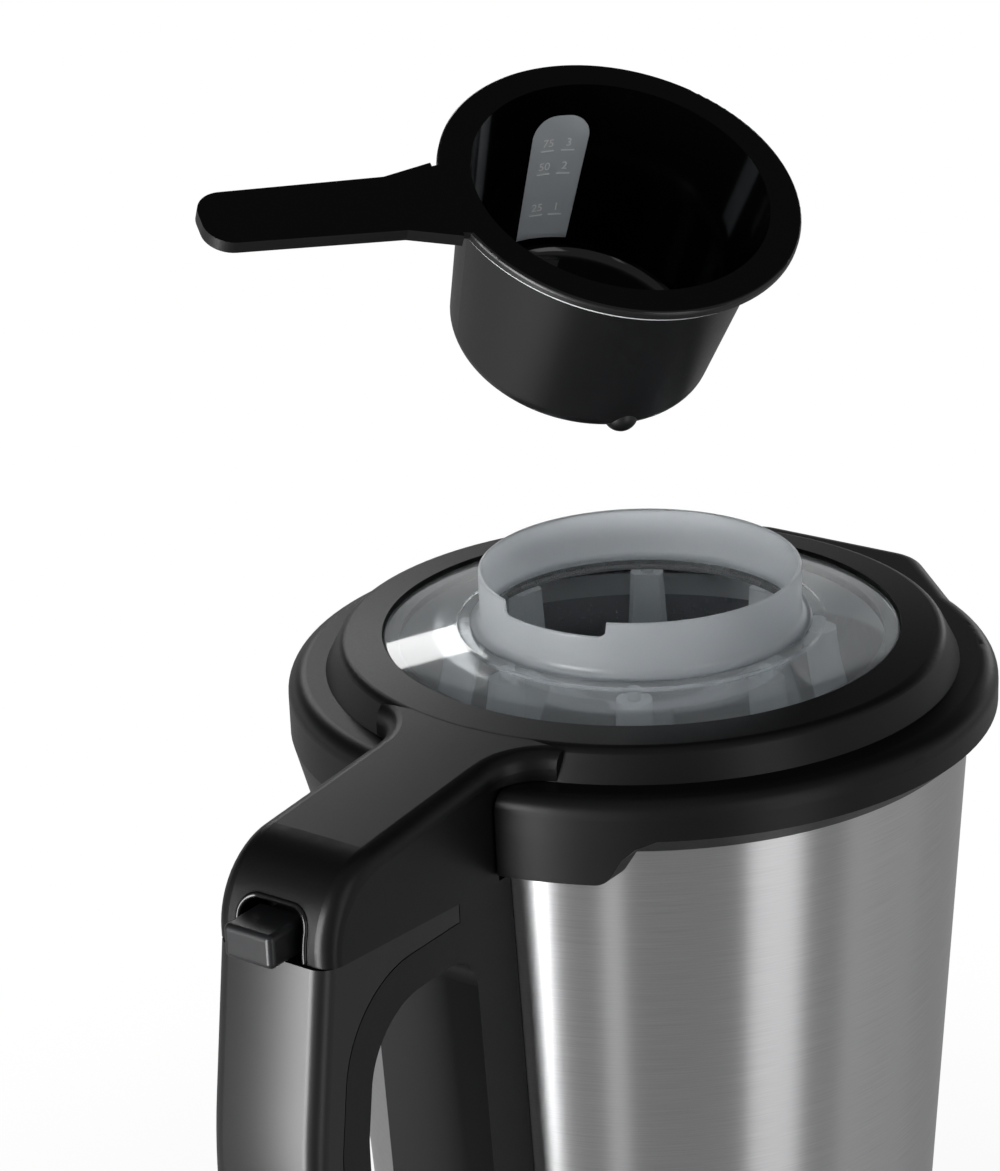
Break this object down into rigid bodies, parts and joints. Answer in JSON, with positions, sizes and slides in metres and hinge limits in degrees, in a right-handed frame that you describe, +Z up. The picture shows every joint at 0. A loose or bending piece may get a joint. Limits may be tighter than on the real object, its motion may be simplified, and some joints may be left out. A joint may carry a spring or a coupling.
{
  "type": "jug soup maker",
  "caption": "Heated steel jug with a blade in its floor, a lift-off lid with clear window and filler neck, a D handle with latch, and a measuring cup lifted off the neck.",
  "frame": {"origin": "on the jug's axis, in the plane its feet stand on", "axes": "+Z up along the jug's axis, +X towards the handle, -X towards the pouring lip, -Y towards the control panel"},
  "size_m": [0.2678, 0.187, 0.4496],
  "materials": {
    "black_plastic": "fine satin texture",
    "cup_plastic": "satin outside, polished inside",
    "brushed_steel": "brushed round the jug",
    "pot_steel": "satin",
    "clear_plastic": "polished clear plastic",
    "frosted_plastic": "frosted translucent plastic",
    "grey_plastic": "satin",
    "rubber": "matt",
    "silicone": "matt translucent",
    "screw_steel": "zinc plated",
    "spring_steel": "polished",
    "aluminium": "cast",
    "motor_iron": "laminated",
    "copper_wire": "enamelled wire",
    "brass": "turned",
    "white_plastic": "moulded",
    "board_green": "printed circuit board",
    "smoked_plastic": "polished",
    "element_steel": "oxidised sheath"
  },
  "bodies": {
    "jug": {"base_housing": "black_plastic", "base_floor": "black_plastic", "rubber_feet": "rubber", "base_screws": "screw_steel", "control_panel": "smoked_plastic", "display_window": "smoked_plastic", "button_mat": "silicone", "power_inlet": "black_plastic", "inlet_pins": "brass", "control_board": "board_green", "board_components": "white_plastic", "outer_shell": "brushed_steel", "spine_screws": "screw_steel", "inner_pot": "pot_steel", "collar": "black_plastic", "handle_frame": "black_plastic", "handle_cover": "black_plastic", "handle_screws": "screw_steel", "interlock_switch": "black_plastic", "heater_plate": "aluminium", "heating_element": "element_steel", "thermal_cutout": "white_plastic", "shaft_carrier": "aluminium", "pot_gasket": "silicone", "carrier_nut": "screw_steel", "shaft_seal": "rubber", "carrier_bushes": "brass", "motor_deck": "white_plastic", "motor_mounts": "rubber", "motor_top_bracket": "aluminium", "motor_stator": "motor_iron", "motor_bottom_bracket": "aluminium", "field_windings": "copper_wire", "motor_bearings": "brass", "carbon_brushes": "rubber"},
    "lid": {"lid_frame": "black_plastic", "arm_cover": "black_plastic", "arm_screws": "screw_steel", "latch_spring": "spring_steel", "lid_window": "clear_plastic", "lid_seal": "silicone", "filler_neck": "frosted_plastic", "splash_guard": "clear_plastic"},
    "latch": {"latch_button": "grey_plastic"},
    "interlock": {"interlock_plunger": "white_plastic"},
    "rotor": {"drive_shaft": "spring_steel", "armature": "motor_iron", "commutator": "copper_wire", "cooling_fan": "white_plastic", "lower_blade": "pot_steel", "upper_blade": "pot_steel", "blade_nut": "screw_steel"},
    "seal": {"cup_seal": "silicone"},
    "cup": {"cup_body": "cup_plastic", "cup_strip": "frosted_plastic"},
    "smooth_key": {"smooth_button": "grey_plastic"},
    "chunky_key": {"chunky_button": "grey_plastic"},
    "keep_warm_key": {"keep_warm_button": "grey_plastic"},
    "blend_key": {"blend_button": "grey_plastic"},
    "start_key": {"start_button": "grey_plastic"}
  },
  "joints": [
    {"name": "lid_lift", "type": "slide", "parent": "jug", "child": "lid", "axis": [0, 0, 1], "range_m": [0, 0.12]},
    {"name": "interlock_rise", "type": "slide", "parent": "jug", "child": "interlock", "axis": [0, 0, 1], "range_m": [0, 0.003]},
    {"name": "latch_press", "type": "slide", "parent": "lid", "child": "latch", "axis": [-1, 0, 0], "range_m": [0, 0.0035], "stiffness_N_per_m": 900, "deforming": ["latch_spring"]},
    {"name": "blade_spin", "type": "hinge", "parent": "jug", "child": "rotor", "pos_m": [0, 0, 0.09], "axis": [0, 0, 1], "continuous": true},
    {"name": "cup_lift", "type": "hinge", "parent": "lid", "child": "seal", "pos_m": [0.10812, 0.19379, 0.32223], "axis": [-0.8634, 0.4808, 0.1527], "range_deg": [-29.22, 0]},
    {"name": "cup_turn", "type": "hinge", "parent": "seal", "child": "cup", "pos_m": [0.02792, 0.01608, 0.42822], "axis": [0.2179, 0.4309, 0.8757], "range_deg": [0, 37.57]},
    {"name": "smooth_press", "type": "slide", "parent": "jug", "child": "smooth_key", "axis": [0.309, 0.9511, 0], "range_m": [0, 0.0014], "stiffness_N_per_m": 600},
    {"name": "chunky_press", "type": "slide", "parent": "jug", "child": "chunky_key", "axis": [0.1564, 0.9877, 0], "range_m": [0, 0.0014], "stiffness_N_per_m": 600},
    {"name": "keep_warm_press", "type": "slide", "parent": "jug", "child": "keep_warm_key", "axis": [0, 1, 0], "range_m": [0, 0.0014], "stiffness_N_per_m": 600},
    {"name": "blend_press", "type": "slide", "parent": "jug", "child": "blend_key", "axis": [-0.1564, 0.9877, 0], "range_m": [0, 0.0014], "stiffness_N_per_m": 600},
    {"name": "start_press", "type": "slide", "parent": "jug", "child": "start_key", "axis": [-0.309, 0.9511, 0], "range_m": [0, 0.0014], "stiffness_N_per_m": 600}
  ],
  "couplings": [
    {"joint": "interlock_rise", "follows": "lid_lift", "ratio": 0.025},
    {"joint": "cup_turn", "follows": "cup_lift", "ratio": -1.2853}
  ]
}
